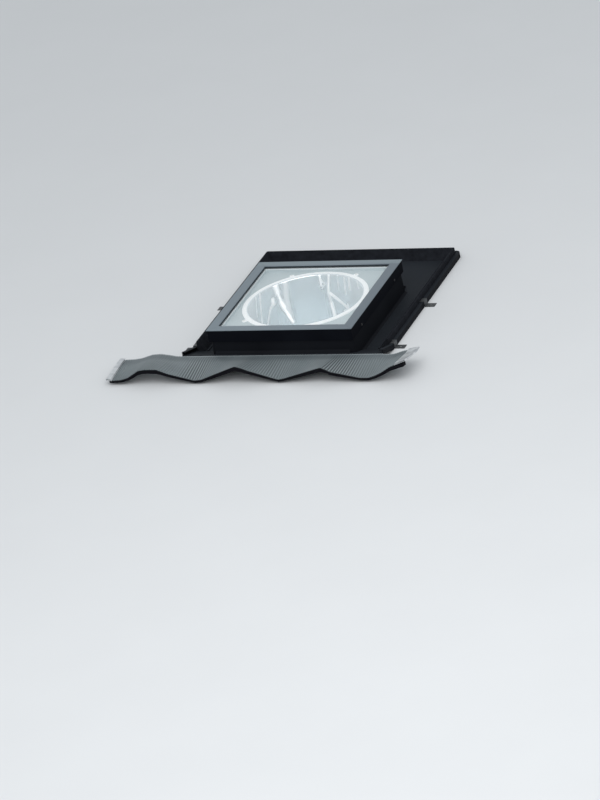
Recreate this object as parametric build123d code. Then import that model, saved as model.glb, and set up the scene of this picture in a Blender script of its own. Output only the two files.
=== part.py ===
from build123d import *

import os
from math import cos, hypot, radians, sin

# Roof skylight: a fixed square pane on a moulded flashing, above a round mirror tube
# Millimetres, X across the roof, Y up the slope, Z out of the roof
# Origin on the tube's axis, in the plane of the roof battens

# Cover frame and pane
frame_side = 470.0
frame_top = 110.0
rail_width = 30.0
cladding_thickness = 2.0
cladding_edge = 0.8
mitre_gap = 0.4
lip_width = 2.5
lip_drop = 0.5
lip_gap = 0.2
glass_recess = 5.0
glass_thickness = 4.0
glass_cover = 13.5
glass_gap = 2.0
glass_corner = 2.0
gasket_width = 8.5
bed_thickness = 1.5
bed_width = 11.5
clip_length = 22.0
clip_width = 6.0
clip_spread = 130.0
clip_gap = 0.3

# Moulded pane frame
frame_reveal = 1.5
seat_thickness = 3.5
seat_setback = 2.0
skirt_thickness = 3.0
skirt_depth = 37.0
skirt_corner = 5.0
moulding_corner = 3.0
seal_height = 6.0
seal_width = 12.0
seal_corner = 10.0
screw_hole_overrun = 5.0

# Flashing
sheet_wall = 3.0
kerb_wall = 4.0
kerb_clearance = 2.0
kerb_draft = 3.0
kerb_corner = 14.0
ledge_width = 30.0
ledge_thickness = 3.0
foot_slope = 6.0
foot_rise = 9.0
back_slope_reach = 34.0
back_slope_rise = 27.0
gutter_width = 90.0
back_reach = 250.0
front_reach = 45.0
flange_top = 30.0
ramp_length = 80.0
tray_corner = 16.0
welt_height = 14.0
welt_lip = 12.0
bead_radius = 3.0
bead_offset = 46.0
rib_count = 5
rib_thickness = 3.0
rib_inset = 2.0

# Foam strips
foam_width = 28.0
foam_height = 31.0
foam_crest = 6.0
foam_gap = 1.0
foam_front_gap = 2.0
foam_end_gap = 14.0
foam_corner = 3.0
foam_mitre_gap = 0.5

# Fixing clips, with one screw hole each
strap_thickness = 1.2
strap_width = 24.0
strap_foot = 30.0
strap_hook = 4.0
hook_thickness = 0.48
strap_gap = 0.2
clip_ramp_gap = 5.5
clip_hole_radius = 2.4

# Apron, draped over the tiles
apron_left = 524.0
apron_right = 448.0
apron_start = 17.0
apron_end = 140.0
apron_sheet = 1.5
pleat_pitch = 8.0
pleat_depth = 2.4
pressed_pleat_depth = 1.0
tile_width = 272.0
tile_valley = 33.0
valley_height = 14.0
tile_relief = 40.0
wing_share = 0.5
wing_blend = 60.0
fold_left = 15.0
fold_right = 34.0
fold_lift = 3.8
tape_thickness = 1.5
tape_margin = 3.0
tape_gap = 0.1
strip_width = 20.0
strip_height = 6.0
strip_end_gap = 8.0
strip_step = 8.0
strip_clearance = 1.8

# The front edge over the tiles: tiles across from a valley, and share of their relief
drape = ((-2.10, 0.15), (-1.99, 0.06), (-1.88, 0.11), (-1.79, 0.28), (-1.65, 0.86), (-1.57, 0.94),
         (-1.43, 0.94), (-1.30, 0.58), (-1.16, 0.31), (-1.00, 0.0), (-0.92, 0.05), (-0.56, 0.96),
         (-0.49, 1.12), (-0.42, 0.99), (-0.34, 0.77), (-0.05, 0.10), (0.0, 0.0), (0.08, 0.11),
         (0.45, 0.82), (0.52, 0.94), (0.57, 0.79), (0.63, 0.57), (0.96, 0.07), (1.06, 0.06),
         (1.14, 0.23), (1.22, 0.48), (1.33, 0.93), (1.60, 1.61))

# Tube, plate and ring
tube_setback = 25.5
tube_wall = 1.0
plate_thickness = 2.0
plate_corner = 12.0
plate_hole_gap = 2.0
rim_thickness = 1.5
rim_gap = 1.0
rim_drop = 0.2
ring_width = 17.5
ring_height = 3.0
ring_round = 0.8
tube_flange = 9.0
lug_reach = 14.0
lug_width = 14.0
lug_corner = 6.0
lug_thickness = 2.0
lug_screw_inset = 6.0
lug_angles = (59.0, 122.0, 222.0, 298.0)
fit_gap = 0.3
upper_tube_end = -120.0
tube_overlap = 60.0
foil_thickness = 0.8
foil_reach_up = 28.0
foil_reach_down = 20.0
tube_screw_count = 3

# Room end
ceiling_level = -300.0
collar_height = 30.0
collar_wall = 2.5
ceiling_flange = 4.0
ceiling_flange_reach = 22.0
diffuser_ledge = 8.0
ledge_rise = 8.0
pane_thickness = 3.0
diffuser_seal_height = 3.0
trim_depth = 7.0
trim_overlap = 3.0
trim_inner_lip = 11.0
trim_lip_thickness = 3.0
trim_screw_count = 3
trim_screw_gap = 1.0

# Joined features and cuts reach this far into or past each other
moulded_joint = 1.0
cut_margin = 1.0

# Fasteners
screw_radius = 1.8
screw_clearance = 0.2
screw_play = 0.1
head_radius = 3.8
head_height = 2.2
head_round_share = 0.45
screw_tip = 2.0
plate_screw_inset = 10.5
frame_screw_row = 150.0
frame_screw_drop = 7.0
lug_screw_radius = 1.5
lug_screw_head = 3.2
tube_screw_radius = 1.4
tube_screw_head = 2.8
tube_screw_tip = 3.0

# Half sides of the square pieces, from the frame inwards
frame_half = frame_side / 2
cladding_inner = frame_half - rail_width
sight_half = cladding_inner - lip_width
glass_half = sight_half + glass_cover
moulding_half = frame_half - frame_reveal
skirt_inner = moulding_half - skirt_thickness
shoulder_half = glass_half + glass_gap
seat_inner = sight_half + seat_setback
kerb_half = skirt_inner - kerb_clearance
kerb_foot_half = kerb_half + kerb_draft
kerb_inner = kerb_half - kerb_wall
ledge_inner = kerb_half - ledge_width
plate_half = kerb_half - frame_reveal

# Heights, from the cover frame's top down
cladding_low = frame_top - cladding_thickness
glass_top = frame_top - glass_recess
glass_low = glass_top - glass_thickness
seat_top = glass_low - bed_thickness
seat_low = seat_top - seat_thickness
skirt_low = cladding_low - skirt_depth
plate_top = seat_low - seal_height
kerb_top = plate_top - plate_thickness
ring_top = plate_top + ring_height

# Flashing's edges
tray_half = frame_half + gutter_width
tray_back = frame_half + back_reach
flange_front = -(frame_half + front_reach)
ramp_foot = -(kerb_foot_half + foot_slope)
ramp_head = ramp_foot + ramp_length
welt_front = ramp_foot - rib_inset
foam_side = tray_half - welt_lip - foam_gap
foam_back = tray_back - welt_lip - foam_gap
clip_row = -ramp_head - clip_ramp_gap - strap_width / 2

# Tube radii
tube_bore = sight_half - tube_setback
upper_outer = tube_bore + tube_wall
lower_inner = upper_outer + fit_gap
lower_outer = lower_inner + tube_wall
ring_outer = tube_bore + ring_width
lower_tube_start = upper_tube_end + tube_overlap
collar_inner = lower_outer + fit_gap
collar_outer = collar_inner + collar_wall
flange_low = ceiling_level - ceiling_flange
ledge_top = flange_low + ceiling_flange + ledge_rise
inner_pane_top = ledge_top + pane_thickness
lower_tube_end = inner_pane_top + diffuser_seal_height
trim_low = flange_low - trim_depth
trim_seat = trim_low + trim_lip_thickness
trim_bore = collar_inner - diffuser_ledge - trim_inner_lip


def block(x0, x1, y0, y1, z0, z1):
    centre = ((x0 + x1) / 2, (y0 + y1) / 2, (z0 + z1) / 2)
    return Pos(*centre) * Box(abs(x1 - x0), abs(y1 - y0), abs(z1 - z0))


def square_slab(half, low, high, corner=0.0):
    outline = RectangleRounded(2 * half, 2 * half, corner) if corner else Rectangle(2 * half, 2 * half)
    return extrude(Plane.XY.offset(low) * outline, amount=high - low)


def square_ring(outer, inner, low, high, outer_corner=0.0, inner_corner=0.0):
    hole = square_slab(inner, low - cut_margin, high + cut_margin, inner_corner)
    return square_slab(outer, low, high, outer_corner) - hole


def frustum(low_half, high_half, low, high, corner):
    wires = []
    for half, level in ((low_half, low), (high_half, high)):
        outline = Plane.XY.offset(level) * RectangleRounded(2 * half, 2 * half, corner)
        wires.append(outline.face().outer_wire())
    return Solid.make_loft(wires, ruled=True)


def turned(points):
    return revolve(Plane.XZ * make_face(Polyline(*points, close=True)), Axis.Z)


def along_x(points, start, end):
    profile = Plane.YZ.offset(start) * make_face(Polyline(*points, close=True))
    return extrude(profile, amount=end - start, dir=(1, 0, 0))


def along_y(points, start, end):
    profile = make_face(Polyline(*[(x, start, z) for x, z in points], close=True))
    return extrude(profile, amount=end - start, dir=(0, 1, 0))


def screw(shank_radius, shank_length, top_radius, top_height):
    # The head stands on Z = 0 and the shank points down
    head = Pos(0, 0, top_height / 2) * Cylinder(top_radius, top_height)
    head = fillet(head.edges().group_by(Axis.Z)[-1], top_height * head_round_share)
    shank = Pos(0, 0, -shank_length / 2) * Cylinder(shank_radius, shank_length)
    return head + shank


def drill(shape, radius, places, low, high):
    # Holes right through, from a margin below one level to a margin above the other
    for x, y in places:
        shape -= Pos(x, y, (low + high) / 2) * Cylinder(radius, high - low + 2 * cut_margin)
    return shape


def around(count, first=90.0):
    return [first + 360.0 * index / count for index in range(count)]


def on_circle(radius, angles):
    return [(radius * cos(radians(angle)), radius * sin(radians(angle))) for angle in angles]


# Cover frame, pane and their seals


def glass_pane():
    pane = square_slab(glass_half, glass_low, glass_top)
    return chamfer(pane.edges().filter_by(Axis.Z), glass_corner)


def glazing_gasket():
    # A lip that slopes to the glass inside the cover rails, and a strip below them
    strip = square_ring(sight_half + gasket_width, cladding_inner, glass_top, cladding_low)
    lip_top = cladding_low - lip_gap
    section = [(0, glass_top), (lip_width, glass_top), (lip_width, lip_top), (0, lip_top - lip_drop)]
    side = along_x([(-sight_half - x, z) for x, z in section], -cladding_inner, cladding_inner)
    wedge = make_face(Polyline((0, 0), (-frame_half, -frame_half), (frame_half, -frame_half), close=True))
    side &= extrude(Plane.XY.offset(glass_top - cut_margin) * wedge, amount=glass_recess + 2 * cut_margin)
    for turn in range(4):
        strip += Rot(0, 0, 90 * turn) * side
    return strip


def glazing_bed():
    return square_ring(glass_half, glass_half - bed_width, seat_top, glass_low)


def cladding_rail():
    # The rail on the down-slope side: a flat cover with eased edges and mitred ends
    rail = block(-frame_half, frame_half, -frame_half, -cladding_inner, cladding_low, frame_top)
    top_edges = rail.edges().filter_by(Axis.X).group_by(Axis.Z)[-1]
    rail = fillet(top_edges, cladding_edge)
    tip = -mitre_gap / 2 ** 0.5
    reach = frame_side
    wedge = make_face(Polyline((0, tip), (-reach, tip - reach), (reach, tip - reach), close=True))
    return rail & extrude(Plane.XY.offset(cladding_low - cut_margin) * wedge, amount=frame_top)


def cladding_clips():
    # Two clips a side, in the space between the gasket and the moulded shoulder
    inner = sight_half + gasket_width + clip_gap
    clips = []
    for turn in range(4):
        for x in (-clip_spread, clip_spread):
            clip = block(x - clip_length / 2, x + clip_length / 2, -inner - clip_width, -inner,
                         glass_top, cladding_low)
            clips.append(Rot(0, 0, 90 * turn) * clip)
    return Compound(children=clips)


def pane_frame():
    shoulder = square_ring(moulding_half, shoulder_half, seat_low, cladding_low, moulding_corner)
    seat = square_ring(moulding_half, seat_inner, seat_low, seat_top, moulding_corner)
    skirt = square_ring(moulding_half, skirt_inner, skirt_low, seat_top, moulding_corner, skirt_corner)
    frame = shoulder + seat + skirt
    return frame - frame_screw_holes()


def frame_screw_places():
    height = kerb_top - frame_screw_drop
    return [(side, y, height) for side in (-1, 1) for y in (-frame_screw_row, frame_screw_row)]


def frame_screw_holes():
    reach = moulding_half - kerb_inner + 2 * screw_hole_overrun
    holes = Part()
    for side, y, z in frame_screw_places():
        hole = Cylinder(screw_radius + screw_clearance, reach)
        holes += Pos(side * (moulding_half + kerb_inner) / 2, y, z) * Rot(0, 90, 0) * hole
    return holes


def frame_screws():
    length = moulding_half - kerb_inner + screw_tip
    pieces = []
    for side, y, z in frame_screw_places():
        piece = screw(screw_radius, length, head_radius, head_height)
        pieces.append(Pos(side * moulding_half, y, z) * Rot(0, 90 * side, 0) * piece)
    return Compound(children=pieces)


def kerb_seal():
    return square_ring(plate_half, plate_half - seal_width, plate_top, seat_low, plate_corner, seal_corner)


# Flashing


def tray_floor():
    # One moulded sheet: gutters on the battens, a ramp at their front and a flange on the lower tiles
    wall = sheet_wall
    under_flange = flange_top - wall
    outline = [(tray_back, 0), (tray_back, wall), (ramp_head, wall), (ramp_foot, flange_top),
               (flange_front, flange_top), (flange_front, under_flange), (ramp_foot, under_flange),
               (ramp_head, 0)]
    floor = along_x(outline, -tray_half, tray_half)
    corners = floor.edges().filter_by(Axis.Z).group_by(Axis.Y)[-1]
    floor = fillet(corners, tray_corner)
    return floor - square_slab(kerb_inner + kerb_draft, -1, kerb_top, kerb_corner)


def kerb():
    outer = frustum(kerb_foot_half, kerb_half, 0, kerb_top, kerb_corner)
    inner_foot = kerb_foot_half - kerb_wall
    ledge_low = kerb_top - ledge_thickness
    inner = frustum(inner_foot, kerb_inner, 0, ledge_low, kerb_corner - kerb_wall)
    mouth = square_slab(ledge_inner, ledge_low - cut_margin, kerb_top + cut_margin, kerb_corner)
    shell = outer - inner - mouth
    foot = frustum(kerb_foot_half + foot_slope, kerb_foot_half, sheet_wall / 2, foot_rise, kerb_corner)
    foot -= frustum(inner_foot, kerb_inner, 0, kerb_top, kerb_corner - kerb_wall)
    return shell + foot


def front_foot():
    # The slope between the upstand's front and the flange
    start = -(kerb_foot_half - moulded_joint)
    low = flange_top - moulded_joint
    points = [(start, low), (ramp_foot, low), (start, flange_top + foot_rise)]
    return along_x(points, -kerb_foot_half + kerb_corner, kerb_foot_half - kerb_corner)


def back_slope():
    # A slope behind the upstand that leads water to the sides
    start = kerb_half
    points = [(start, sheet_wall / 2), (kerb_foot_half + back_slope_reach, sheet_wall / 2),
              (kerb_foot_half + back_slope_reach, sheet_wall), (start, back_slope_rise + sheet_wall)]
    half = kerb_foot_half - kerb_corner
    return along_x(points, -half, half)


def side_welt():
    # The turned-up edge of one gutter, with its lip turned inwards
    top = sheet_wall + welt_height
    ramp_top = flange_top + welt_height - sheet_wall
    back = tray_back - tray_corner
    wall = along_x([(back, 0), (back, top), (ramp_head, top), (ramp_foot, ramp_top), (welt_front, ramp_top),
                    (welt_front, flange_top - sheet_wall), (ramp_foot, flange_top - sheet_wall),
                    (ramp_head, 0)], tray_half - sheet_wall, tray_half)
    lip = along_x([(back, top - sheet_wall), (back, top), (ramp_head, top), (ramp_foot, ramp_top),
                   (welt_front, ramp_top), (welt_front, ramp_top - sheet_wall),
                   (ramp_foot, ramp_top - sheet_wall), (ramp_head, top - sheet_wall)],
                  tray_half - welt_lip, tray_half)
    return wall + lip


def back_welt():
    top = sheet_wall + welt_height
    low = sheet_wall / 2
    points = [(tray_back, low), (tray_back, top), (tray_back - welt_lip, top),
              (tray_back - welt_lip, top - sheet_wall), (tray_back - sheet_wall, top - sheet_wall),
              (tray_back - sheet_wall, low)]
    half = tray_half - tray_corner
    return along_x(points, -half, half)


def corner_welt():
    # The rounded corner between the side welt and the back welt
    centre = (tray_half - tray_corner, tray_back - tray_corner)
    top = sheet_wall + welt_height
    low = sheet_wall / 2
    arcs = [(tray_corner - sheet_wall, low), (tray_corner, low), (tray_corner, top),
            (tray_corner - welt_lip, top), (tray_corner - welt_lip, top - sheet_wall),
            (tray_corner - sheet_wall, top - sheet_wall)]
    profile = Plane.XZ * make_face(Polyline(*arcs, close=True))
    return Pos(*centre, 0) * revolve(profile, Axis.Z, revolution_arc=90)


def flange_ribs():
    ribs = Part()
    start = -(kerb_foot_half - moulded_joint)
    reach = tray_half - rib_thickness
    top = flange_top - moulded_joint
    tip = flange_front + rib_inset
    for index in range(rib_count):
        x = -reach + 2 * reach * index / (rib_count - 1)
        back = ramp_foot if abs(x) > kerb_inner else start
        ribs += along_x([(back, 0), (back, top), (tip, top)], x - rib_thickness / 2, x + rib_thickness / 2)
    return ribs


def flashing_tray():
    tray = tray_floor() + kerb() + front_foot() + back_slope() + back_welt() + flange_ribs()
    right = side_welt() + corner_welt()
    bead_x = kerb_foot_half + bead_offset
    bead_end = tray_back - welt_lip - foam_width - foam_end_gap
    bead = Pos(bead_x, (ramp_head + bead_end) / 2, sheet_wall) * Rot(90, 0, 0) * Cylinder(
        bead_radius, bead_end - ramp_head)
    right += bead & block(0, tray_half, ramp_head, bead_end, sheet_wall / 2, sheet_wall + bead_radius)
    tray = tray + right + mirror(right, Plane.YZ)
    tray -= frame_screw_holes()
    return drill(tray, screw_radius, plate_screw_places(), kerb_top - ledge_thickness, kerb_top)


def foam_section(outer, base):
    # A wedge that rises towards the flashing's edge
    return [(outer - foam_width, base), (outer, base), (outer, base + foam_height),
            (outer - foam_crest, base + foam_height)]


def outside_mitre(side, gap):
    # Everything outside the mitre line at one back corner, with the line moved inwards by the gap
    start = foam_side - foam_back - gap
    far = 2 * foam_back
    corner = [(side * (start - far), -far), (side * (start + far), far), (side * (start + far), -far)]
    return extrude(make_face(Polyline(*corner, close=True)), amount=frame_top, dir=(0, 0, 1))


def side_foam(side):
    points = [(side * x, z) for x, z in foam_section(foam_side, sheet_wall)]
    strip = along_y(points, ramp_head + foam_front_gap, foam_back)
    strip = chamfer(strip.edges().filter_by(Axis.Z).sort_by(Axis.Y)[-1], foam_corner)
    return strip & outside_mitre(side, 0.0)


def top_foam():
    strip = along_x(foam_section(foam_back, sheet_wall), -foam_side, foam_side)
    strip = chamfer(strip.edges().filter_by(Axis.Z), foam_corner)
    return strip - outside_mitre(1, foam_mitre_gap) - outside_mitre(-1, foam_mitre_gap)


def fixing_clips():
    # Bent straps that hook over the side welts and stand on the battens
    top = sheet_wall + welt_height
    wall_x = tray_half + strap_gap
    outer_x = wall_x + strap_thickness
    hook_x = tray_half - welt_lip - strap_gap
    hook_top = top + strap_gap + strap_thickness
    tip_x = hook_x - hook_thickness
    tip = hook_top - strap_hook
    foot_x = outer_x + strap_foot
    section = [(foot_x, 0), (foot_x, strap_thickness), (outer_x, strap_thickness), (outer_x, hook_top),
               (tip_x, hook_top), (tip_x, tip), (hook_x, tip), (hook_x, top + strap_gap),
               (wall_x, top + strap_gap), (wall_x, 0)]
    clips = []
    for side in (-1, 1):
        for y in (-clip_row, clip_row):
            points = [(side * x, z) for x, z in section]
            strap = along_y(points, y - strap_width / 2, y + strap_width / 2)
            strap = drill(strap, clip_hole_radius, [(side * clip_hole_x(), y)], 0, strap_thickness)
            clips.append(strap)
    return Compound(children=clips)


def clip_hole_x():
    return tray_half + strap_gap + strap_thickness + strap_foot / 2


# Apron


def lower_edge(x):
    across = (x - tile_valley) / tile_width
    share = drape[-1][1]
    for (start, low), (end, high) in zip(drape, drape[1:]):
        if start <= across < end:
            share = low + (high - low) * (across - start) / (end - start)
    return valley_height + tile_relief * share


def upper_edge(x):
    flat = flange_top + tape_thickness + pressed_pleat_depth / 2 + apron_sheet / 2 + tape_gap
    out = min(1.0, max(0.0, (abs(x) - tray_half) / wing_blend))
    middle = valley_height + tile_relief / 2
    return flat + out * wing_share * (lower_edge(x) - middle)


def folded_end(edge, reach, height):
    # The sheet's end turned back over itself, from its free edge to the bend
    steps = max(1, round(abs(reach) / pleat_pitch))
    line = []
    for index in range(steps):
        x = edge + reach * (steps - index) / steps
        line.append((x, height(x) + fold_lift))
    outward = -fold_lift if reach > 0 else fold_lift
    line.append((edge, height(edge) + fold_lift))
    line.append((edge + outward / 3, height(edge) + fold_lift / 2))
    return line


def sheet_line(height, depth):
    # The sheet's middle line across the roof: a folded end, the pleats and the other folded end
    steps = round((apron_left + apron_right) / (pleat_pitch / 2))
    step = (apron_left + apron_right) / steps
    pleats = []
    for index in range(steps + 1):
        x = -apron_left + index * step
        pleats.append((x, height(x) + (depth / 2 if index % 2 else -depth / 2)))
    left = folded_end(-apron_left, fold_left, height)
    right = folded_end(apron_right, -fold_right, height)
    return left + pleats + right[::-1]


def thickened(line, thickness):
    # Both sides of a line, each point moved along the mitre of its two runs
    upper, lower = [], []
    for index, (x, z) in enumerate(line):
        before = line[max(index - 1, 0)]
        after = line[min(index + 1, len(line) - 1)]
        runs = []
        for (x0, z0), (x1, z1) in ((before, (x, z)), ((x, z), after)):
            length = hypot(x1 - x0, z1 - z0)
            if length > 0:
                runs.append((-(z1 - z0) / length, (x1 - x0) / length))
        nx = sum(run[0] for run in runs) / len(runs)
        nz = sum(run[1] for run in runs) / len(runs)
        scale = thickness / 2 / (nx ** 2 + nz ** 2)
        upper.append((x + nx * scale, z + nz * scale))
        lower.append((x - nx * scale, z - nz * scale))
    return upper + lower[::-1]


def apron():
    start = -(frame_half + apron_start)
    end = -(frame_half + apron_end)
    rows = [(start, upper_edge, pressed_pleat_depth), (flange_front, upper_edge, pressed_pleat_depth),
            (end, lower_edge, pleat_depth)]
    wires = []
    for y, height, depth in rows:
        outline = thickened(sheet_line(height, depth), apron_sheet)
        wires.append(Wire.make_polygon([(x, y, z) for x, z in outline], close=True))
    return Solid.make_loft(wires, ruled=True)


def sealing_strip():
    # A dark strip under the front edge, straight between the pleats
    front = -(frame_half + apron_end)
    sheet_front = front + moulded_joint
    drop = (pleat_depth + strip_clearance * apron_sheet) / 2 + tape_gap
    start, end = strip_end_gap - apron_left, apron_right - strip_end_gap
    steps = round((end - start) / strip_step)
    wires = []
    for y in (sheet_front, sheet_front + strip_width):
        share = (flange_front - y) / (flange_front - front)
        top = []
        for index in range(steps + 1):
            x = start + (end - start) * index / steps
            top.append((x, y, upper_edge(x) + share * (lower_edge(x) - upper_edge(x)) - drop))
        low = [(x, y, z - strip_height) for x, y, z in top]
        wires.append(Wire.make_polygon(top + low[::-1], close=True))
    return Solid.make_loft(wires, ruled=True)


def apron_tape():
    front = flange_front + tape_margin
    back = -(frame_half + apron_start + tape_margin)
    half = tray_half - tape_margin
    return block(-half, half, front, back, flange_top, flange_top + tape_thickness)


# Plate, ring and tube


def plate_screw_places():
    reach = ledge_inner + plate_screw_inset
    return [(x * reach, y * reach) for x in (-1, 1) for y in (-1, 1)]


def lug_screw_places():
    return on_circle(ring_outer + lug_reach - lug_screw_inset, lug_angles)


def tube_plate():
    # The rim round the plate stands up inside the seat, close under the glass
    rim_half = seat_inner - rim_gap
    plate = square_slab(plate_half, kerb_top, plate_top, plate_corner)
    plate += square_ring(rim_half, rim_half - rim_thickness, plate_top, glass_low - rim_drop)
    plate -= Pos(0, 0, plate_top) * Cylinder(upper_outer + plate_hole_gap, 4 * plate_thickness)
    plate = drill(plate, screw_radius + screw_clearance, plate_screw_places(), kerb_top, plate_top)
    return drill(plate, lug_screw_radius + screw_clearance, lug_screw_places(), kerb_top, plate_top)


def plate_screws():
    length = plate_thickness + ledge_thickness + screw_tip
    piece = screw(screw_radius - screw_play, length, head_radius, head_height)
    return Compound(children=[Pos(x, y, plate_top) * piece for x, y in plate_screw_places()])


def top_ring():
    recess = plate_top + tube_wall
    recess_outer = upper_outer + tube_flange + fit_gap
    section = make_face(Polyline((tube_bore, recess), (recess_outer, recess), (recess_outer, plate_top),
                                 (ring_outer, plate_top), (ring_outer, ring_top), (tube_bore, ring_top),
                                 close=True))
    section = fillet(section.vertices().group_by(Axis.Y)[-1], ring_round)
    ring = revolve(Plane.XZ * section, Axis.Z)
    tab_length = lug_reach + ring_width / 2
    middle = ring_outer + lug_reach - tab_length / 2
    tab_outline = RectangleRounded(tab_length, lug_width, lug_corner)
    tab = extrude(Plane.XY.offset(plate_top) * Pos(middle, 0) * tab_outline, amount=lug_thickness)
    tab -= Pos(0, 0, plate_top) * Cylinder(recess_outer, 4 * ring_height)
    for angle in lug_angles:
        ring += Rot(0, 0, angle) * tab
    lug_top = plate_top + lug_thickness
    return drill(ring, lug_screw_radius + screw_clearance, lug_screw_places(), plate_top, lug_top)


def ring_screws():
    length = lug_thickness + plate_thickness + screw_tip
    piece = screw(lug_screw_radius, length, lug_screw_head, head_height)
    return Compound(children=[Pos(x, y, plate_top + lug_thickness) * piece for x, y in lug_screw_places()])


def tube_screw_height():
    return (upper_tube_end + lower_tube_start - foil_reach_down) / 2


def tube_screw_holes():
    holes = Part()
    radius = tube_screw_radius + screw_clearance
    reach = 2 * (lower_outer - tube_bore + tube_screw_tip)
    for angle in around(tube_screw_count):
        hole = Pos(lower_outer, 0, tube_screw_height()) * Rot(0, 90, 0) * Cylinder(radius, reach)
        holes += Rot(0, 0, angle) * hole
    return holes


def tube_screws():
    length = lower_outer - tube_bore + tube_screw_tip
    pieces = []
    for angle in around(tube_screw_count):
        piece = screw(tube_screw_radius, length, tube_screw_head, head_height / 2)
        place = Pos(lower_outer + fit_gap / 2, 0, tube_screw_height()) * Rot(0, 90, 0)
        pieces.append(Rot(0, 0, angle) * place * piece)
    return Compound(children=pieces)


def upper_tube():
    lip_top = plate_top + tube_wall
    tube = turned([(tube_bore, upper_tube_end), (upper_outer, upper_tube_end), (upper_outer, plate_top),
                   (upper_outer + tube_flange, plate_top), (upper_outer + tube_flange, lip_top),
                   (tube_bore, lip_top)])
    return tube - tube_screw_holes()


def lower_tube():
    tube = turned([(lower_inner, lower_tube_end), (lower_outer, lower_tube_end),
                   (lower_outer, lower_tube_start), (lower_inner, lower_tube_start)])
    return tube - tube_screw_holes()


def joint_tape():
    # Foil round the end of the lower tube, stepped over its edge
    step = lower_tube_start + fit_gap
    inner = upper_outer + fit_gap
    outer = lower_outer + fit_gap
    top = lower_tube_start + foil_reach_up
    low = lower_tube_start - foil_reach_down
    thick = foil_thickness
    return turned([(inner, top), (inner + thick, top), (inner + thick, step + thick),
                   (outer + thick, step + thick), (outer + thick, low), (outer, low), (outer, step),
                   (inner, step)])


# Room end


def ceiling_ring():
    reach = collar_inner + ceiling_flange_reach
    bore = collar_inner - diffuser_ledge
    collar_top = ceiling_level + collar_height
    ring = turned([(collar_inner, collar_top), (collar_outer, collar_top), (collar_outer, ceiling_level),
                   (reach, ceiling_level), (reach, flange_low), (bore, flange_low), (bore, ledge_top),
                   (collar_inner, ledge_top)])
    return drill(ring, screw_radius, trim_screw_places(), flange_low, ceiling_level)


def inner_diffuser():
    return Pos(0, 0, (ledge_top + inner_pane_top) / 2) * Cylinder(collar_inner - fit_gap, pane_thickness)


def diffuser_seal():
    outer = collar_inner - fit_gap
    return turned([(outer - diffuser_ledge, inner_pane_top), (outer, inner_pane_top),
                   (outer, lower_tube_end), (outer - diffuser_ledge, lower_tube_end)])


def trim_screw_places():
    reach = (collar_outer + collar_inner + ceiling_flange_reach) / 2
    return on_circle(reach, around(trim_screw_count))


def trim_ring():
    outer = collar_inner + ceiling_flange_reach + trim_overlap
    lens_bore = trim_bore + trim_inner_lip
    places = trim_screw_places()
    ring = turned([(trim_bore, trim_low), (outer - trim_overlap, trim_low), (outer, trim_low + trim_overlap),
                   (outer, flange_low), (lens_bore, flange_low), (lens_bore, trim_seat),
                   (trim_bore, trim_seat)])
    ring = drill(ring, screw_radius + screw_clearance, places, trim_low, flange_low)
    return drill(ring, head_radius + screw_clearance, places, trim_low, trim_low + head_height - cut_margin)


def diffuser_lens():
    lens = Cylinder(trim_bore + trim_inner_lip - fit_gap, pane_thickness)
    return Pos(0, 0, trim_seat + pane_thickness / 2) * lens


def trim_screws():
    length = trim_depth - head_height + ceiling_flange - trim_screw_gap
    piece = Rot(180, 0, 0) * screw(screw_radius - screw_play, length, head_radius, head_height)
    seat = trim_low + head_height
    return Compound(children=[Pos(x, y, seat) * piece for x, y in trim_screw_places()])


def all_nodes():
    rail = cladding_rail()
    return {
        "glass_pane": glass_pane(),
        "glazing_gasket": glazing_gasket(),
        "glazing_bed": glazing_bed(),
        "cladding_bottom": rail,
        "cladding_right": Rot(0, 0, 90) * rail,
        "cladding_top": Rot(0, 0, 180) * rail,
        "cladding_left": Rot(0, 0, 270) * rail,
        "cladding_clips": cladding_clips(),
        "pane_frame": pane_frame(),
        "frame_screws": frame_screws(),
        "kerb_seal": kerb_seal(),
        "flashing_tray": flashing_tray(),
        "foam_left": side_foam(-1),
        "foam_right": side_foam(1),
        "foam_top": top_foam(),
        "fixing_clips": fixing_clips(),
        "apron": apron(),
        "apron_strip": sealing_strip(),
        "apron_tape": apron_tape(),
        "tube_plate": tube_plate(),
        "plate_screws": plate_screws(),
        "top_ring": top_ring(),
        "ring_screws": ring_screws(),
        "upper_tube": upper_tube(),
        "lower_tube": lower_tube(),
        "joint_tape": joint_tape(),
        "tube_screws": tube_screws(),
        "ceiling_ring": ceiling_ring(),
        "inner_diffuser": inner_diffuser(),
        "diffuser_seal": diffuser_seal(),
        "trim_ring": trim_ring(),
        "diffuser_lens": diffuser_lens(),
        "trim_screws": trim_screws(),
    }


def main():
    os.makedirs("parts", exist_ok=True)
    for name, shape in all_nodes().items():
        export_step(shape, f"parts/{name}.step")
    print("clip holes", 2 * clip_hole_x(), "by", 2 * clip_row)


main()
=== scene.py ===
import math

import bpy
from mathutils import Matrix, Vector


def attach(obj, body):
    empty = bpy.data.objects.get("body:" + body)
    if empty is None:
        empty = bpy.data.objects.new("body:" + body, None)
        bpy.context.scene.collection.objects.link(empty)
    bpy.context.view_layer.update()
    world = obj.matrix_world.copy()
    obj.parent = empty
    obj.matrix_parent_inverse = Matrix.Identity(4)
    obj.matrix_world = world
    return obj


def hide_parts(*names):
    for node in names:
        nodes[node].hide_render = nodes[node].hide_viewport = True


# Dresses the roof skylight: materials on every CAD node, floor, light and camera
# Metres, in the row frame: X across the roof, Y up the slope, Z out of the roof

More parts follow.
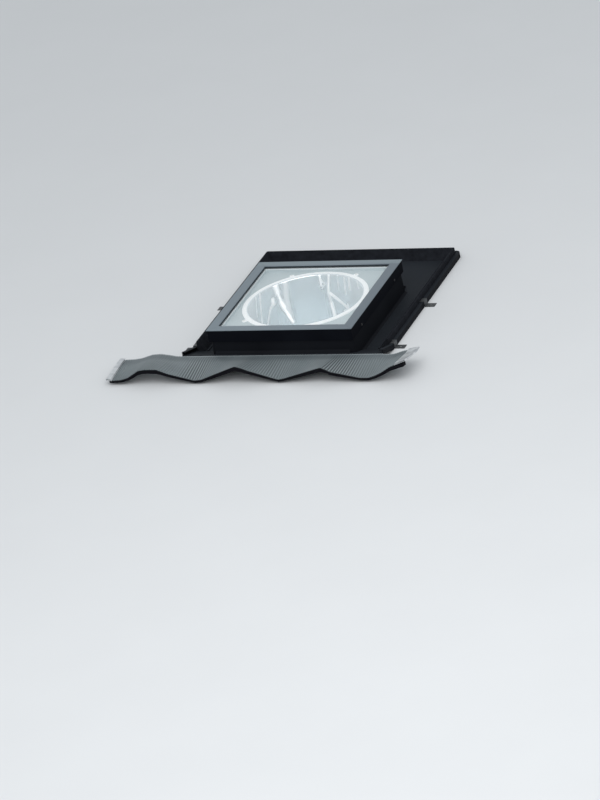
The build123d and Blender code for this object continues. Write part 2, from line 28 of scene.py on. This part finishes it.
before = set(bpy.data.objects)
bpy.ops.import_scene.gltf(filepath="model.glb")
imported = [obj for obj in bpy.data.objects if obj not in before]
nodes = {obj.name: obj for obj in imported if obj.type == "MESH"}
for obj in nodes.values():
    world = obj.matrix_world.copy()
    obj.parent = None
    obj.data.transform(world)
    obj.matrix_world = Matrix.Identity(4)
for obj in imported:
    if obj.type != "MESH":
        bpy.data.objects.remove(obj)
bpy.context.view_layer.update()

# Camera, as fitted to the photograph, in metres, degrees and millimetres of lens
CAMERA_AIM = (-0.0150, -0.1489, -0.1698)
CAMERA_DISTANCE = 17.899
CAMERA_AZIMUTH = 24.924
CAMERA_ELEVATION = 24.706
CAMERA_ROLL = 11.583
CAMERA_LENS = 267.3
CAMERA_SENSOR = 36.0

# Mirror film inside the upper tube, and how many steps its mesh has around and down
FILM_RADIUS = 0.1768
FILM_THICKNESS = 0.0003
FILM_TOP = 0.0918
FILM_LOW = -0.1190
FILM_AROUND = 480
FILM_DOWN = 56
# How far a crease stands proud, as a share of its width
CREASE_RISE = 0.1

# Creases that the photo shows left of the tube's middle: width and strength of their painted highlight, then
# each place's angle in degrees and height in metres
LEFT_CREASES = (
    (0.002, 0.6, ((170, 0.09), (175, 0.03))),
    (0.003, 1.0, ((163, 0.09), (165, 0.06), (169, -0.01))),
    (0.006, 1.1, ((148, 0.05), (148, 0.035))),
    (0.0035, 0.9, ((150, 0.035), (154, 0.02), (160, -0.015))),
    (0.008, 1.3, ((142, 0.09), (141, 0.065))),
    (0.005, 1.1, ((141, 0.06), (139, 0.035))),
    (0.0075, 1.3, ((139, 0.03), (137, 0.01))),
    (0.0055, 1.2, ((137, 0.005), (131, -0.045))),
    (0.010, 0.5, ((131, 0.09), (133, 0.03), (132, -0.03))),
)

# Creases that it shows right of the middle
RIGHT_CREASES = (
    (0.0035, 0.9, ((96, 0.09), (96, 0.055))),
    (0.003, 0.5, ((95, 0.075), (92, 0.06), (96, 0.045))),
    (0.0035, 0.9, ((86, 0.09), (89, 0.05))),
    (0.004, 0.9, ((89, 0.05), (90, 0.03))),
    (0.0045, 0.6, ((90, 0.025), (89, 0.0))),
    (0.0055, 1.1, ((89, -0.005), (88, -0.05))),
    (0.004, 1.4, ((89, 0.03), (80, 0.005), (72, -0.015))),
    (0.0035, 0.8, ((70, -0.005), (70, -0.02), (76, -0.03))),
    (0.002, 0.6, ((76, 0.09), (78, 0.04))),
    (0.003, 0.7, ((68, 0.085), (70, 0.03))),
    (0.004, 1.0, ((61, 0.09), (63, 0.05))),
    (0.004, 1.0, ((46, 0.09), (46, 0.07))),
)

# Creases on the near side, which the photo doesn't show
NEAR_CREASES = (
    (0.004, 0.8, ((20, 0.085), (12, 0.01), (14, -0.07))),
    (0.0045, 0.8, ((330, 0.085), (322, 0.02), (326, -0.06))),
    (0.004, 0.7, ((255, 0.085), (262, 0.0), (258, -0.08))),
    (0.006, 0.9, ((215, 0.08), (208, 0.01), (203, -0.05))),
)

# The film is less of a mirror towards both sides of its middle, in degrees round the tube
FILM_MIDDLE = 120.0
SIDE_START = 18.0
SIDE_END = 75.0
MIDDLE_METAL = 0.78
SIDE_METAL = 0.2

# How much of a mirror a crease is, and which way its surface turns
CREASE_METAL = 0.5
CREASE_TURN = (0.42, -0.90, 1.05)

# The plate is whiter above this height, where its rim stands, and fully so a little higher
RIM_START = 0.0980
RIM_BLEND = 0.001

# The ring carries painted shade inside this radius, and is fully white a little outside it
RING_SHADED = 0.1785
RING_BLEND = 0.002

# Half the cover frame's side, and how far inside it the upper rail's painted highlight begins and is full
FRAME_HALF = 0.235
TOP_HIGHLIGHT_START = 0.03
TOP_HIGHLIGHT_FULL = 0.02

# The pane reflects a little less than bare glass, as coated glass does
GLASS_IOR = 1.3

# Bare metal ends of the apron, where the sheet is turned back
END_LEFT = -0.5085
END_RIGHT = 0.4120

# Up the apron: a band of painted shade on its upper part, and a painted highlight along the flange's upper
# edge
UPPER_SHADE_START = -0.295
UPPER_SHADE_END = -0.275
EDGE_HIGHLIGHT_START = -0.2575
EDGE_HIGHLIGHT_BLEND = 0.002

# The pleats, and how many waves a wave texture of scale 1 has in 2 pi metres
PLEAT_PITCH = 0.008
WAVES_AT_SCALE_ONE = 20.0

# Along the apron, from its left end to its right: places, and in the first table how much painted shade lies
# in the grooves there, in the second how much painted highlight lies on the crests
APRON_START = -0.53
APRON_STOP = 0.45
GROOVE_SHADE = ((-0.530, 0.10), (-0.300, 0.12), (-0.265, 0.85), (-0.225, 0.80), (-0.200, 0.20), (-0.110, 0.15),
           (-0.090, 0.40), (-0.040, 0.35), (0.000, 0.50), (0.060, 0.30), (0.165, 0.15), (0.185, 1.00),
           (0.245, 0.90), (0.285, 0.35), (0.400, 0.15))
CREST_HIGHLIGHT = ((-0.180, 0.00), (-0.140, 0.55), (-0.105, 0.45), (-0.080, 0.00), (0.090, 0.00), (0.130, 0.50),
          (0.168, 0.40), (0.180, 0.00))

# The strip under the apron's front edge is made deeper under the waves, by this share of their height, as
# painted shadow in the gap under the sheet
STRIP_SHADOW_DEPTH = 0.15

# Decimals to which the strip's upper and lower points share one place in plan
PLAN_DIGITS = 5

# Painted sky light lightens a face whose normal points up by at least the first share, and fully from the
# second
SKYLIT_START = 0.6
SKYLIT_FULL = 0.9

# The sky above and the room below meet just under the horizon
SKY_COLOUR = (0.93, 0.97, 1.0)
SKY_STRENGTH = 0.72
ROOM_STRENGTH = 1.05
ROOM_TOP = -0.03
SKY_LOW = -0.01

# Lamp and floor
LAMP_POWER = 115.0
LAMP_PLACE = (1.4, -2.8, 3.6)
LAMP_SIZE = 5.0
FLOOR_COLOUR = (0.68, 0.69, 0.70)
FLOOR_DARKER = 0.985
FLOOR_HALF = 60.0
FLOOR_HOLE = 0.226


def socket(node, name, value):
    node.inputs[name].default_value = value


def rgba(colour):
    return (*colour, 1.0)


class Look:
    """A procedural material with colour variation, roughness variation and bump."""

    def __init__(self, name):
        self.material = bpy.data.materials.new(name)
        self.material.use_nodes = True
        self.tree = self.material.node_tree
        self.tree.nodes.clear()
        self.output = self.add("ShaderNodeOutputMaterial")
        self.place = self.add("ShaderNodeTexCoord").outputs["Object"]

    def add(self, kind, **settings):
        node = self.tree.nodes.new(kind)
        for key, value in settings.items():
            setattr(node, key, value)
        return node

    def link(self, source, target):
        self.tree.links.new(source, target)

    def axes(self, vector=None):
        """X, Y and Z of a vector, which is the place on the object where none is given."""
        node = self.add("ShaderNodeSeparateXYZ")
        self.link(vector or self.place, node.inputs["Vector"])
        return node.outputs

    def noise(self, scale, detail=3.0, stretch=(1.0, 1.0, 1.0), roughness=0.55):
        mapping = self.add("ShaderNodeMapping")
        mapping.inputs["Scale"].default_value = stretch
        self.link(self.place, mapping.inputs["Vector"])
        node = self.add("ShaderNodeTexNoise")
        socket(node, "Scale", scale)
        socket(node, "Detail", detail)
        socket(node, "Roughness", roughness)
        self.link(mapping.outputs["Vector"], node.inputs["Vector"])
        return node.outputs["Fac"]

    def ramp(self, factor, stops):
        node = self.add("ShaderNodeValToRGB")
        elements = node.color_ramp.elements
        while len(elements) < len(stops):
            elements.new(0.5)
        for element, (position, colour) in zip(elements, stops):
            element.position = position
            element.color = rgba(colour)
        self.link(factor, node.inputs["Fac"])
        return node.outputs["Color"]

    def spread(self, factor, low, high, start=0.3, end=0.7):
        node = self.add("ShaderNodeMapRange")
        socket(node, "From Min", start)
        socket(node, "From Max", end)
        socket(node, "To Min", low)
        socket(node, "To Max", high)
        self.link(factor, node.inputs["Value"])
        return node.outputs["Result"]

    def mix(self, factor, first, second):
        node = self.add("ShaderNodeMix", data_type="RGBA")
        for value, name in ((factor, "Factor"), (first, 6), (second, 7)):
            target = node.inputs[name]
            if isinstance(value, bpy.types.NodeSocket):
                self.link(value, target)
            else:
                target.default_value = value
        return node.outputs[2]

    def between(self, factor, first, second):
        node = self.add("ShaderNodeMix", data_type="FLOAT")
        self.link(factor, node.inputs[0])
        self.link(first, node.inputs[2])
        node.inputs[3].default_value = second
        return node.outputs[0]

    def bump(self, height, strength, distance):
        node = self.add("ShaderNodeBump")
        socket(node, "Strength", strength)
        socket(node, "Distance", distance)
        self.link(height, node.inputs["Height"])
        return node.outputs["Normal"]

    def shader(self, colour, roughness, normal=None, metallic=0.0, specular=0.5, **constants):
        node = self.add("ShaderNodeBsdfPrincipled")
        socket(node, "Metallic", metallic)
        socket(node, "Specular IOR Level", specular)
        for key, value in constants.items():
            socket(node, key.replace("_", " "), value)
        self.link(colour, node.inputs["Base Color"])
        self.link(roughness, node.inputs["Roughness"])
        if normal is not None:
            self.link(normal, node.inputs["Normal"])
        return node.outputs["BSDF"]

    def finish(self, shader):
        self.link(shader, self.output.inputs["Surface"])
        return self.material


def plain(name, low, high, roughness, scale, grain, bump=0.1, distance=0.0004, metallic=0.0,
          specular=0.5, stretch=(1.0, 1.0, 1.0), **constants):
    """Colour between two tones, roughness that varies with it, and a fine grain."""
    look = Look(name)
    broad = look.noise(scale, stretch=stretch)
    fine = look.noise(grain, detail=2.0, stretch=stretch)
    colour = look.ramp(broad, ((0.3, low), (0.7, high)))
    rough = look.spread(broad, roughness[0], roughness[1])
    normal = look.bump(fine, bump, distance)
    return look.finish(look.shader(colour, rough, normal, metallic, specular, **constants))


def glass_look():
    """Clear glass: the view straight through with a thin Fresnel reflection."""
    look = Look("clear glass")
    broad = look.noise(9.0)
    colour = look.ramp(broad, ((0.3, (0.988, 0.995, 0.996)), (0.7, (0.992, 0.998, 0.998))))
    clear = look.add("ShaderNodeBsdfTransparent")
    look.link(colour, clear.inputs["Color"])
    gloss = look.add("ShaderNodeBsdfGlossy")
    look.link(look.spread(broad, 0.01, 0.03), gloss.inputs["Roughness"])
    look.link(look.bump(look.noise(3.0), 0.02, 0.001), gloss.inputs["Normal"])
    fresnel = look.add("ShaderNodeFresnel")
    socket(fresnel, "IOR", GLASS_IOR)
    facing = look.add("ShaderNodeMath", operation="MULTIPLY")
    behind = look.add("ShaderNodeMath", operation="SUBTRACT")
    behind.inputs[0].default_value = 1.0
    look.link(look.add("ShaderNodeNewGeometry").outputs["Backfacing"], behind.inputs[1])
    look.link(fresnel.outputs["Fac"], facing.inputs[0])
    look.link(behind.outputs["Value"], facing.inputs[1])
    blend = look.add("ShaderNodeMixShader")
    look.link(facing.outputs["Value"], blend.inputs["Fac"])
    look.link(clear.outputs["BSDF"], blend.inputs[1])
    look.link(gloss.outputs["BSDF"], blend.inputs[2])
    return look.finish(blend.outputs["Shader"])


def film_look():
    """Mirror film, duller at both sides of its middle; along its creases it is painted white as a highlight
    and turned up.
    """
    look = Look("creased mirror film")
    mottle = look.add("ShaderNodeMath", operation="MULTIPLY")
    look.link(look.add("ShaderNodeAttribute", attribute_name="crease").outputs["Fac"], mottle.inputs[0])
    look.link(look.spread(look.noise(70.0, stretch=(1.0, 1.0, 0.5)), 0.7, 1.0), mottle.inputs[1])
    crease = mottle.outputs["Value"]
    middle = math.radians(FILM_MIDDLE)
    toward = look.add("ShaderNodeVectorMath", operation="DOT_PRODUCT")
    look.link(look.place, toward.inputs[0])
    toward.inputs[1].default_value = (math.cos(middle) / FILM_RADIUS, math.sin(middle) / FILM_RADIUS, 0.0)
    far, near = math.cos(math.radians(SIDE_END)), math.cos(math.radians(SIDE_START))
    metal = look.spread(toward.outputs["Value"], SIDE_METAL, MIDDLE_METAL, far, near)
    broad = look.noise(16.0, stretch=(1.0, 1.0, 0.15))
    silver = look.ramp(broad, ((0.3, (0.93, 0.965, 0.98)), (0.7, (0.96, 0.985, 0.995))))
    # White along the creases: painted highlight in place of the sky's reflection in crumpled film
    colour = look.mix(crease, silver, rgba((0.99, 0.99, 0.99)))
    raised = look.add("ShaderNodeVectorMath", operation="MULTIPLY_ADD")
    look.link(crease, raised.inputs[0])
    raised.inputs[1].default_value = CREASE_TURN
    bumped = look.bump(look.noise(90.0, stretch=(1.0, 1.0, 0.2)), 0.12, 0.0006)
    look.link(bumped, raised.inputs[2])
    normal = look.add("ShaderNodeVectorMath", operation="NORMALIZE")
    look.link(raised.outputs["Vector"], normal.inputs[0])
    node = look.add("ShaderNodeBsdfPrincipled")
    look.link(colour, node.inputs["Base Color"])
    look.link(look.between(crease, metal, CREASE_METAL), node.inputs["Metallic"])
    look.link(look.spread(crease, 0.25, 0.38, 0.0, 1.0), node.inputs["Roughness"])
    look.link(normal.outputs["Vector"], node.inputs["Normal"])
    return look.finish(node.outputs["BSDF"])


def along_apron(stops):
    """Stops of a grey ramp from places along the apron."""
    length = APRON_STOP - APRON_START
    return [((place - APRON_START) / length, (share, share, share)) for place, share in stops]


def apron_look():
    """Grey coated sheet with painted shade in its grooves and on its upper band, painted highlights on its
    crests and upper edge, and bare metal on its turned ends.
    """
    look = Look("apron sheet")
    broad = look.noise(9.0)
    coat = look.ramp(broad, ((0.3, (0.125, 0.148, 0.157)), (0.7, (0.170, 0.198, 0.208))))
    along = look.axes()
    across = look.spread(along["X"], 0.0, 1.0, APRON_START, APRON_STOP)
    pleats = look.add("ShaderNodeTexWave", wave_type="BANDS", bands_direction="X", wave_profile="TRI")
    socket(pleats, "Scale", 2.0 * math.pi / (WAVES_AT_SCALE_ONE * PLEAT_PITCH))
    look.link(look.place, pleats.inputs["Vector"])
    # Painted highlight on the crests of the waves
    coat = look.mix(look.ramp(across, along_apron(CREST_HIGHLIGHT)), coat, rgba((0.235, 0.262, 0.272)))
    # Dark pleat lines: painted shade in the grooves
    groove_shade = look.ramp(pleats.outputs["Fac"], ((0.2, (0.230, 0.262, 0.272)), (0.85, (0.030, 0.037, 0.042))))
    coat = look.mix(look.ramp(across, along_apron(GROOVE_SHADE)), coat, groove_shade)
    metal = look.ramp(look.noise(45.0), ((0.3, (0.42, 0.44, 0.46)), (0.7, (0.72, 0.74, 0.75))))
    left = look.add("ShaderNodeMath", operation="LESS_THAN")
    right = look.add("ShaderNodeMath", operation="GREATER_THAN")
    ends = look.add("ShaderNodeMath", operation="ADD")
    for node, limit, index in ((left, END_LEFT, 0), (right, END_RIGHT, 1)):
        look.link(along["X"], node.inputs[0])
        node.inputs[1].default_value = limit
        look.link(node.outputs["Value"], ends.inputs[index])
    # Painted shade on the upper band of the sheet
    upper = look.spread(along["Y"], 0.0, 0.55, UPPER_SHADE_START, UPPER_SHADE_END)
    coat = look.mix(upper, coat, rgba((0.080, 0.098, 0.108)))
    # Painted highlight along the upper edge of the flange
    edge_highlight = look.spread(along["Y"], 0.0, 0.8, EDGE_HIGHLIGHT_START, EDGE_HIGHLIGHT_START + EDGE_HIGHLIGHT_BLEND)
    coat = look.mix(edge_highlight, coat, rgba((0.26, 0.29, 0.30)))
    bare = ends.outputs["Value"]
    node = look.add("ShaderNodeBsdfPrincipled")
    look.link(look.mix(bare, coat, metal), node.inputs["Base Color"])
    look.link(look.spread(bare, 0.0, 0.6, 0.0, 1.0), node.inputs["Metallic"])
    look.link(look.spread(bare, 0.5, 0.42, 0.0, 1.0), node.inputs["Roughness"])
    look.link(look.bump(look.noise(350.0), 0.15, 0.0005), node.inputs["Normal"])
    return look.finish(node.outputs["BSDF"])


def ring_look():
    """White ring, with painted shade along its inner edge."""
    look = Look("white ring")
    broad = look.noise(10.0)
    white = look.ramp(broad, ((0.3, (0.980, 0.985, 0.985)), (0.7, (0.995, 0.995, 0.995))))
    flat = look.add("ShaderNodeVectorMath", operation="MULTIPLY")
    look.link(look.place, flat.inputs[0])
    flat.inputs[1].default_value = (1.0, 1.0, 0.0)
    radius = look.add("ShaderNodeVectorMath", operation="LENGTH")
    look.link(flat.outputs["Vector"], radius.inputs[0])
    outer = look.spread(radius.outputs["Value"], 0.0, 1.0, RING_SHADED, RING_SHADED + RING_BLEND)
    # Grey band of painted shade along the inner edge
    colour = look.mix(outer, rgba((0.66, 0.71, 0.74)), white)
    normal = look.bump(look.noise(350.0, detail=2.0), 0.1, 0.0004)
    return look.finish(look.shader(colour, look.spread(broad, 0.3, 0.42), normal))


def plate_look():
    """Pale plate, whiter on the rim that stands up under the glass."""
    look = Look("pale plate")
    broad = look.noise(7.0)
    pale = look.ramp(broad, ((0.3, (0.500, 0.556, 0.575)), (0.7, (0.555, 0.614, 0.632))))
    along = look.axes()
    rim = look.spread(along["Z"], 0.0, 1.0, RIM_START, RIM_START + RIM_BLEND)
    colour = look.mix(rim, pale, rgba((0.80, 0.83, 0.84)))
    normal = look.bump(look.noise(400.0), 0.1, 0.0004)
    return look.finish(look.shader(colour, look.spread(broad, 0.5, 0.65), normal, specular=0.2))


def frosted_look(name, low, high, scattered, clear):
    """A pale ribbed sheet: some light scatters through it and some goes straight through."""
    look = Look(name)
    broad = look.noise(14.0)
    colour = look.ramp(broad, ((0.3, low), (0.7, high)))
    normal = look.bump(look.noise(220.0), 0.2, 0.0005)
    surface = look.shader(colour, look.spread(broad, 0.25, 0.4), normal)
    through = look.add("ShaderNodeBsdfTranslucent")
    look.link(colour, through.inputs["Color"])
    straight = look.add("ShaderNodeBsdfTransparent")
    look.link(colour, straight.inputs["Color"])
    mixed = surface
    for share, part in ((scattered, through), (clear, straight)):
        blend = look.add("ShaderNodeMixShader")
        socket(blend, "Fac", share)
        look.link(mixed, blend.inputs[1])
        look.link(part.outputs["BSDF"], blend.inputs[2])
        mixed = blend.outputs["Shader"]
    return look.finish(mixed)


def dress(material, *names):
    for name in names:
        node = nodes[name]
        node.data.materials.clear()
        node.data.materials.append(material)


def cladding_look():
    """Coated aluminium, with painted shade towards the right of the frame and a painted highlight towards its
    top.
    """
    look = Look("coated aluminium")
    broad = look.noise(6.0)
    coat = look.ramp(broad, ((0.3, (0.156, 0.190, 0.217)), (0.7, (0.176, 0.214, 0.242))))
    along = look.axes()
    right = look.spread(along["X"], 0.0, 1.0, 0.0, FRAME_HALF)
    top = look.spread(along["Y"], 0.0, 1.0, FRAME_HALF - TOP_HIGHLIGHT_START, FRAME_HALF - TOP_HIGHLIGHT_FULL)
    # Painted shade, darker towards the right of the frame
    coat = look.mix(right, coat, rgba((0.128, 0.156, 0.182)))
    # Painted highlight along the upper rail
    coat = look.mix(top, coat, rgba((0.190, 0.232, 0.256)))
    normal = look.bump(look.noise(900.0, detail=2.0), 0.05, 0.0004)
    return look.finish(look.shader(coat, look.spread(broad, 0.38, 0.5), normal, specular=0.4))


def flashing_look():
    """Black moulding, darker than the plastic as painted shade, and lighter on the faces that look up as
    painted sky light.
    """
    look = Look("black flashing")
    broad = look.noise(8.0)
    # Near-black tone, darker than the plastic itself: painted shade
    black = look.ramp(broad, ((0.3, (0.0062, 0.0070, 0.0092)), (0.7, (0.0090, 0.0102, 0.0132))))
    upward = look.axes(look.add("ShaderNodeNewGeometry").outputs["Normal"])
    # Faces that look up are lighter: painted sky light
    skylit = look.spread(upward["Z"], 0.0, 1.0, SKYLIT_START, SKYLIT_FULL)
    skylit_black = look.ramp(broad, ((0.3, (0.0160, 0.0190, 0.0235)), (0.7, (0.0215, 0.0250, 0.0305))))
    normal = look.bump(look.noise(500.0), 0.2, 0.0004)
    rough = look.spread(broad, 0.55, 0.7)
    return look.finish(look.shader(look.mix(skylit, black, skylit_black), rough, normal, specular=0.05))


def dress_nodes():
    cladding = cladding_look()
    # Near-black moulding, darker than the plastic itself: painted shade on its lamp-lit front
    moulding = plain("black moulding", (0.0036, 0.0042, 0.0064), (0.0052, 0.0062, 0.0092), (0.55, 0.7), 12.0,
                     700.0, bump=0.2, specular=0.03)
    rubber = plain("gasket rubber", (0.020, 0.026, 0.031), (0.030, 0.038, 0.044), (0.6, 0.75), 20.0, 400.0,
                   bump=0.15, specular=0.2)
    pale_tape = plain("pale tape", (0.60, 0.64, 0.66), (0.66, 0.70, 0.72), (0.6, 0.75), 20.0, 300.0, bump=0.2)
    # Near-black tape; on the apron's front edge its strip is partly a seal and partly painted shadow under
    # the sheet
    tape = plain("sealing tape", (0.004, 0.004, 0.006), (0.007, 0.007, 0.009), (0.7, 0.85), 30.0, 300.0,
                 bump=0.3, specular=0.05)
    foam = plain("foam strip", (0.010, 0.011, 0.014), (0.018, 0.020, 0.025), (0.9, 1.0), 60.0, 500.0,
                 bump=0.6, distance=0.001, specular=0.05)
    plastic = plain("black plastic", (0.012, 0.012, 0.012), (0.02, 0.02, 0.02), (0.45, 0.6), 25.0, 500.0)
    zinc = plain("zinc plate", (0.22, 0.23, 0.24), (0.36, 0.37, 0.38), (0.4, 0.6), 80.0, 600.0, metallic=1.0)
    old_zinc = plain("weathered zinc", (0.10, 0.105, 0.11), (0.16, 0.165, 0.17), (0.5, 0.65), 80.0, 600.0,
                     metallic=1.0)
    black_screw = plain("black screw", (0.010, 0.010, 0.011), (0.018, 0.018, 0.019), (0.4, 0.55), 80.0, 600.0)
    mirror = plain("mirror film", (0.93, 0.965, 0.98), (0.96, 0.985, 0.995), (0.10, 0.2), 12.0, 60.0,
                   bump=0.1, metallic=1.0, stretch=(1.0, 1.0, 0.12))
    foil = plain("foil tape", (0.62, 0.63, 0.64), (0.76, 0.77, 0.78), (0.25, 0.42), 40.0, 200.0,
                 bump=0.4, metallic=1.0)
    white = plain("room white", (0.76, 0.76, 0.75), (0.80, 0.80, 0.79), (0.32, 0.45), 8.0, 500.0)
    dress(cladding, "cladding_bottom", "cladding_right", "cladding_top", "cladding_left")
    dress(moulding, "pane_frame")
    dress(flashing_look(), "flashing_tray")
    dress(rubber, "glazing_gasket")
    dress(pale_tape, "glazing_bed")
    dress(tape, "apron_strip", "apron_tape", "kerb_seal", "diffuser_seal")
    dress(foam, "foam_left", "foam_right", "foam_top")
    dress(plastic, "cladding_clips")
    dress(old_zinc, "fixing_clips")
    dress(zinc, "tube_screws", "trim_screws")
    dress(black_screw, "frame_screws")
    dress(white, "plate_screws", "ring_screws")
    dress(apron_look(), "apron")
    dress(plate_look(), "tube_plate")
    dress(ring_look(), "top_ring")
    dress(mirror, "upper_tube", "lower_tube")
    dress(foil, "joint_tape")
    dress(white, "ceiling_ring", "trim_ring")
    dress(glass_look(), "glass_pane")
    inner = frosted_look("inner pane", (0.955, 0.982, 0.990), (0.975, 0.990, 0.996), 0.6, 0.9)
    lens = frosted_look("frosted lens", (0.95, 0.972, 0.982), (0.965, 0.982, 0.990), 0.6, 0.8)
    dress(inner, "inner_diffuser")
    dress(lens, "diffuser_lens")


def crease_at(around, height):
    """How far the film stands proud at a place on the wall, and how strong its painted highlight is there."""
    lift, white = 0.0, 0.0
    # The second value of each crease is the strength of its painted highlight
    for width, shade, points in LEFT_CREASES + RIGHT_CREASES + NEAR_CREASES:
        nearest = 1.0
        for (angle0, low), (angle1, high) in zip(points, points[1:]):
            x0, x1 = math.radians(angle0) * FILM_RADIUS, math.radians(angle1) * FILM_RADIUS
            dx, dz = x1 - x0, high - low
            share = ((around - x0) * dx + (height - low) * dz) / (dx * dx + dz * dz)
            share = max(0.0, min(1.0, share))
            nearest = min(nearest, math.hypot(around - x0 - share * dx, height - low - share * dz))
        if nearest < 3.0 * width:
            bell = math.exp(-(nearest / width) ** 2)
            lift = max(lift, CREASE_RISE * width * bell)
            white = max(white, shade * bell)
    return lift, min(1.0, white)


def make_film():
    """The creased mirror film that lines the upper tube."""
    places, highlight_strengths, faces = [], [], []
    for down in range(FILM_DOWN + 1):
        height = FILM_TOP + (FILM_LOW - FILM_TOP) * down / FILM_DOWN
        for step in range(FILM_AROUND):
            angle = 2.0 * math.pi * step / FILM_AROUND
            lift, white = crease_at(angle * FILM_RADIUS, height)
            for radius in (FILM_RADIUS - FILM_THICKNESS - lift, FILM_RADIUS):
                places.append((radius * math.cos(angle), radius * math.sin(angle), height))
                highlight_strengths.append(white)
    for down in range(FILM_DOWN):
        for step in range(FILM_AROUND):
            here = 2 * (down * FILM_AROUND + step)
            right = 2 * (down * FILM_AROUND + (step + 1) % FILM_AROUND)
            below = 2 * FILM_AROUND
            faces.append((here, here + below, right + below, right))
            faces.append((here + 1, right + 1, right + below + 1, here + below + 1))
            if down == 0:
                faces.append((here, right, right + 1, here + 1))
            if down == FILM_DOWN - 1:
                faces.append((here + below, here + below + 1, right + below + 1, right + below))
    mesh = bpy.data.meshes.new("mirror_film")
    mesh.from_pydata(places, [], faces)
    # The crease attribute carries the strength of the painted highlight
    mesh.attributes.new("crease", "FLOAT", "POINT").data.foreach_set("value", highlight_strengths)
    mesh.polygons.foreach_set("use_smooth", [True] * len(mesh.polygons))
    film = bpy.data.objects.new("mirror_film", mesh)
    bpy.context.scene.collection.objects.link(film)
    mesh.materials.append(film_look())
    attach(film, "root")


def make_strip():
    """The sealing strip, made deeper under the waves of the apron's front edge as painted shadow."""
    source = nodes["apron_strip"]
    mesh = source.data.copy()
    lowest = {}
    for point in mesh.vertices:
        place = (round(point.co.x, PLAN_DIGITS), round(point.co.y, PLAN_DIGITS))
        lowest[place] = min(lowest.get(place, point.co.z), point.co.z)
    base = min(lowest.values())
    for point in mesh.vertices:
        low = lowest[(round(point.co.x, PLAN_DIGITS), round(point.co.y, PLAN_DIGITS))]
        if point.co.z == low:
            # Deepening under the waves is painted shadow
            point.co.z -= STRIP_SHADOW_DEPTH * (low - base)
    strip = bpy.data.objects.new("seal_and_shadow_strip", mesh)
    strip.matrix_world = source.matrix_world
    bpy.context.scene.collection.objects.link(strip)
    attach(strip, "root")
    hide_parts("apron_strip")


def make_floor():
    """A pale floor in the plane of the battens, open where the tube goes through the roof."""
    square = ((-1, -1), (1, -1), (1, 1), (-1, 1))
    corners = [(x * half, y * half, 0.0) for half in (FLOOR_HALF, FLOOR_HOLE) for x, y in square]
    faces = [(side, (side + 1) % 4, 4 + (side + 1) % 4, 4 + side) for side in range(4)]
    mesh = bpy.data.meshes.new("floor")
    mesh.from_pydata(corners, [], faces)
    floor = bpy.data.objects.new("floor", mesh)
    bpy.context.scene.collection.objects.link(floor)
    look = Look("pale floor")
    broad = look.noise(3.0)
    tone = [channel * FLOOR_DARKER for channel in FLOOR_COLOUR]
    colour = look.ramp(broad, ((0.3, tone), (0.7, FLOOR_COLOUR)))
    normal = look.bump(look.noise(60.0), 0.05, 0.001)
    rough = look.spread(broad, 0.85, 0.95)
    mesh.materials.append(look.finish(look.shader(colour, rough, normal, specular=0.1)))


def make_world():
    """The sky above, and the lighter room below that the tube looks into."""
    world = bpy.data.worlds.new("soft studio")
    world.use_nodes = True
    tree = world.node_tree
    background = tree.nodes["Background"]
    background.inputs["Color"].default_value = rgba(SKY_COLOUR)
    direction = tree.nodes.new("ShaderNodeTexCoord")
    height = tree.nodes.new("ShaderNodeSeparateXYZ")
    strength = tree.nodes.new("ShaderNodeMapRange")
    socket(strength, "From Min", ROOM_TOP)
    socket(strength, "From Max", SKY_LOW)
    socket(strength, "To Min", ROOM_STRENGTH)
    socket(strength, "To Max", SKY_STRENGTH)
    tree.links.new(direction.outputs["Generated"], height.inputs["Vector"])
    tree.links.new(height.outputs["Z"], strength.inputs["Value"])
    tree.links.new(strength.outputs["Result"], background.inputs["Strength"])
    bpy.context.scene.world = world


def make_lamp():
    """One large round lamp that looks at the origin."""
    lamp = bpy.data.lights.new("sky light", "AREA")
    lamp.shape = "DISK"
    lamp.size = LAMP_SIZE
    lamp.energy = LAMP_POWER
    item = bpy.data.objects.new("sky light", lamp)
    item.location = LAMP_PLACE
    item.rotation_mode = "QUATERNION"
    item.rotation_quaternion = (-Vector(LAMP_PLACE)).to_track_quat("-Z", "Y")
    bpy.context.scene.collection.objects.link(item)


def make_camera():
    """The camera on a sphere round its aim, turned about its own line of sight."""
    azimuth, elevation = math.radians(CAMERA_AZIMUTH), math.radians(CAMERA_ELEVATION)
    level = math.cos(elevation)
    back = Vector((math.sin(azimuth) * level, -math.cos(azimuth) * level, math.sin(elevation)))
    data = bpy.data.cameras.new("camera")
    data.lens = CAMERA_LENS
    data.sensor_width = CAMERA_SENSOR
    camera = bpy.data.objects.new("camera", data)
    upright = (-back).to_track_quat("-Z", "Y").to_matrix()
    roll = Matrix.Rotation(math.radians(-CAMERA_ROLL), 3, "Z")
    place = Matrix.Translation(Vector(CAMERA_AIM) + back * CAMERA_DISTANCE)
    camera.matrix_world = place @ (upright @ roll).to_4x4()
    bpy.context.scene.collection.objects.link(camera)
    bpy.context.scene.camera = camera


dress_nodes()
make_film()
make_strip()
make_floor()
make_world()
make_lamp()
make_camera()

bpy.context.scene.view_settings.view_transform = "Standard"
